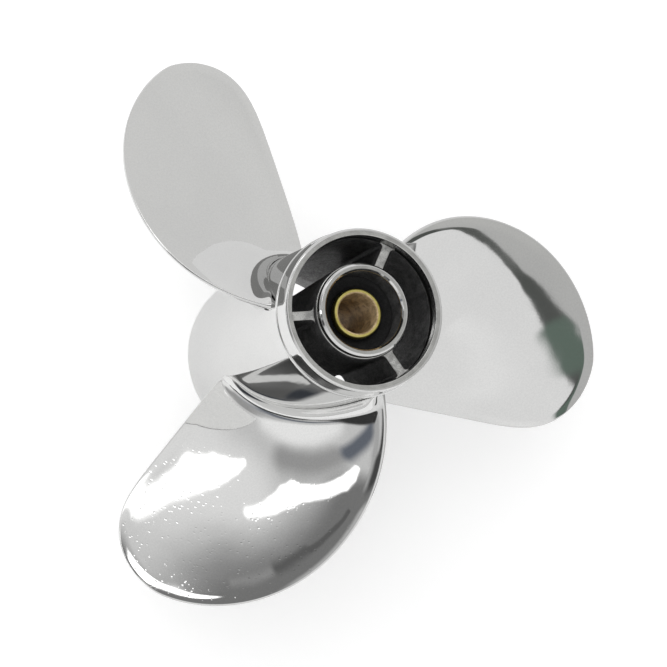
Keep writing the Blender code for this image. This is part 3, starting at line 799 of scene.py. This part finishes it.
# The light tent, laid out on a disc: straight up is (0, 0), the horizon is the unit circle, +x and +y are the
# part's.  A card is start, end, reach, fade, light; an oval is centre, half sizes, turn, fade, light.
TENT_LIGHT = 0.82
LIGHT_SIDE = (-0.88, 0.45, 0.0)
TENT = (
    ("west_wall", "card", (-0.90, 0.05), (-0.28, 0.36), 0.36, 0.22, (0.64, 0.64, 0.64)),
    ("west_sheet", "card", (-0.965, 0.265), (-0.518, 0.639), 0.087, 0.114, (0.94, 0.94, 0.94)),
    ("camera_shade", "card", (-0.722, 0.151), (-0.494, 0.371), 0.013, 0.094, (0.36, 0.36, 0.36)),
    ("inner_sheet", "card", (-0.255, 0.338), (-0.083, 0.359), 0.045, 0.144, (0.84, 0.84, 0.84)),
    ("tent_door", "card", (-0.514, 0.024), (-0.158, 0.115), 0.083, 0.115, (0.20, 0.20, 0.20)),
    ("blue_gap", "card", (-0.965, -0.135), (-0.770, 0.080), 0.018, 0.060, (0.14, 0.155, 0.185)),
    ("south_strip", "card", (-0.953, -0.188), (-0.587, -0.045), 0.023, 0.051, (0.45, 0.45, 0.45)),
    ("dark_gap", "card", (-0.625, -0.122), (-0.554, -0.074), 0.022, 0.064, (0.07, 0.07, 0.07)),
    ("low_gap", "card", (-0.867, -0.310), (-0.666, -0.169), 0.006, 0.047, (0.06, 0.06, 0.06)),
    ("door_seam_low", "card", (-0.501, 0.080), (-0.338, 0.156), 0.003, 0.006, (0.12, 0.12, 0.12)),
    ("door_seam_end", "card", (-0.250, 0.190), (-0.160, 0.212), (0.001, 0.000), 0.009, (0.30, 0.30, 0.30)),
    ("door_seam_high", "card", (-0.332, 0.162), (-0.250, 0.190), (0.000, 0.000), 0.016, (0.12, 0.12, 0.12)),
    ("door_glow", "card", (-0.406, -0.028), (-0.235, 0.033), 0.007, 0.053, (0.49, 0.49, 0.49)),
    ("door_corner", "card", (-0.118, 0.165), (-0.072, 0.196), 0.012, 0.014, (2.20, 2.20, 2.20)),
    ("east_rim", "oval", (1.597, -0.0485), (1.458, 0.522), 0.0652, 0.004, (0.090, 0.095, 0.090)),
    ("green_card", "card", (0.168, -0.205), (0.200, -0.262), 0.008, 0.020, (0.125, 0.165, 0.140)),
    ("east_wall", "oval", (1.8185, 0.531), (0.8233, 1.7924), -1.1703, 0.003, (0.50, 0.50, 0.495)),
    ("east_band", "card", (0.457, -0.289), (0.901, -0.402), 0.017, 0.146, (0.54, 0.54, 0.53)),
    ("foot_sheet", "card", (0.097, -0.255), (0.250, -0.501), 0.000, 0.059, (0.88, 0.88, 0.88)),
    ("west_gap", "card", (-1.050, -0.350), (-1.050, 0.250), 0.038, 0.030, (0.04, 0.04, 0.04)),
    ("east_gap", "card", (1.060, -0.170), (1.000, 0.380), 0.045, 0.030, (0.05, 0.05, 0.05)),
    ("south_gap", "card", (-0.700, -0.780), (0.300, -1.020), 0.030, 0.040, (0.06, 0.06, 0.06)),
    ("north_wall", "card", (0.701, 0.499), (1.200, 1.600), 0.350, 0.300, (0.70, 0.70, 0.695)),
)

# The two lamps: bent tubes of light, as (x, y, reach) along each, joined by cards.
LAMP_LIGHT = 2.3
LAMP_FADE = 0.018
LAMPS = (
    ((-0.272, 0.402, 0.000), (-0.236, 0.389, 0.006), (-0.190, 0.377, 0.013), (-0.139, 0.362, 0.019),
     (-0.100, 0.345, 0.016), (-0.062, 0.326, 0.016), (-0.028, 0.292, 0.003), (0.003, 0.261, 0.000)),
    ((-0.690, 0.040, 0.004), (-0.641, 0.072, 0.012), (-0.593, 0.108, 0.015), (-0.530, 0.168, 0.013),
     (-0.477, 0.224, 0.018), (-0.445, 0.256, 0.024), (-0.399, 0.269, 0.022), (-0.340, 0.275, 0.010),
     (-0.285, 0.283, 0.002), (-0.250, 0.288, 0.000)),
)


def make_light():
    """A light tent as a world.  The direction (x, y, z) is laid out on a disc as (x, y) / (1 + z), and the cards and
    ovals are laid over one another there.  Only reflections see them, the second and later ones more dimly, but
    for a plain bright rim of the floor in front.
    The camera sees plain white, and the matte surfaces get soft white light, a little stronger from the left."""
    world = bpy.data.worlds.new("light_tent")
    bpy.context.scene.world = world
    world.use_nodes = True
    wires = Wiring(world.node_tree)
    direction = wires.add("ShaderNodeTexCoord").outputs["Generated"]
    axes = wires.add("ShaderNodeSeparateXYZ", {0: direction}).outputs
    under = wires.math("MAXIMUM", wires.math("ADD", axes[2], 1.0), 0.05)
    flat = wires.add("ShaderNodeCombineXYZ", {0: wires.math("DIVIDE", axes[0], under),
                                              1: wires.math("DIVIDE", axes[1], under)}).outputs[0]
    card, oval = card_effect(), oval_effect()
    light = (TENT_LIGHT, TENT_LIGHT, TENT_LIGHT, 1.0)
    lamps = [("lamp", "card", start[:2], end[:2], (start[2], end[2]), LAMP_FADE, (LAMP_LIGHT,) * 3)
             for lamp in LAMPS for start, end in zip(lamp, lamp[1:])]
    for name, kind, first, second, third, fade, shine in (*TENT, *lamps):
        if kind == "card":
            near, far = third if isinstance(third, tuple) else (third, third)
            layer = wires.group(card, Under=light, Place=flat, Start=(*first, 0.0), End=(*second, 0.0), Reach=near,
                                End_Reach=far, Fade=fade, Light=(*shine, 1.0))
        else:
            layer = wires.group(oval, Under=light, Place=flat, Centre=(*first, 0.0), Half_Sizes=(*second, 1.0),
                                Turn=(0.0, 0.0, third), Fade=fade, Light=(*shine, 1.0))
        light = layer["Light"]
    path = wires.add("ShaderNodeLightPath").outputs
    again = wires.spread(path["Glossy Depth"], 1.0, 2.0, 0.0, 1.0, "LINEAR")
    low = wires.spread(wires.vector("LENGTH", flat).outputs["Value"], 0.84, 0.92)
    front = wires.spread(wires.vector("DOT_PRODUCT", flat, (0.5, 0.85, 0.0)).outputs["Value"], 0.15, 0.35, 1.0, 0.0)
    dimmed = wires.add("ShaderNodeVectorMath", {0: light, "Scale": SECOND_REFLECTION}, operation="SCALE").outputs[0]
    dimmed = wires.blend(wires.math("MULTIPLY", low, front), dimmed, (0.80, 0.80, 0.80, 1.0))
    light = wires.blend(again, light, dimmed)
    side = wires.vector("DOT_PRODUCT", direction, LIGHT_SIDE).outputs["Value"]
    soft = wires.math("ADD", side, 1.0)
    soft = wires.add("ShaderNodeCombineXYZ", {0: soft, 1: soft, 2: soft}).outputs[0]
    soft = wires.blend(path["Is Camera Ray"], soft, (1.0, 1.0, 1.0, 1.0))
    light = wires.blend(path["Is Glossy Ray"], soft, light)
    wires.feed(world.node_tree.nodes["Background"].inputs["Color"], light)


finish = make_materials()
# the barrel's bore and the inner tube take the dark cast finish: partly the casting's skin, partly painted shade
hub_finishes = (finish["polished"], finish["machined"], finish["dark_cast_and_painted_shade"])
inner_finishes = (finish["machined"], finish["dark_cast_and_painted_shade"], finish["polished"])
piece("hub_casting", hub_mesh(), hub_finishes, "polished_stainless", "hub_barrel", "exhaust_ring")
piece("inner_hub_tube", inner_hub_mesh(), inner_finishes, "satin_stainless", "inner_hub")
one_blade = blade_grid()
for number in range(BLADE_COUNT):
    turn = 2.0 * math.pi * number / BLADE_COUNT
    label = number + 1
    blade = blade_mesh(f"blade_{label}_cast", one_blade, turn)
    piece(f"blade_{label}_cast", blade, (finish["polished"],), "polished_stainless", f"blade_{label}")
    rib = rib_mesh(f"rib_{label}_cast", turn + math.pi / BLADE_COUNT)
    # the rib sides take the dark cast finish: partly the casting's skin, partly painted shade
    piece(f"rib_{label}_cast", rib, (finish["cast_web"], finish["dark_cast_and_painted_shade"]), "satin_stainless", f"rib_{label}")
piece("bonded_bush", bush_mesh(), (finish["rubber"],), "black_rubber", "rubber_bush")
piece("shaft_sleeve", sleeve_mesh(), (finish["brass"], finish["brass_bore"]), "yellow_brass", "splined_sleeve")

make_camera()
make_floor()
make_light()
bpy.context.scene.view_settings.view_transform = "Standard"
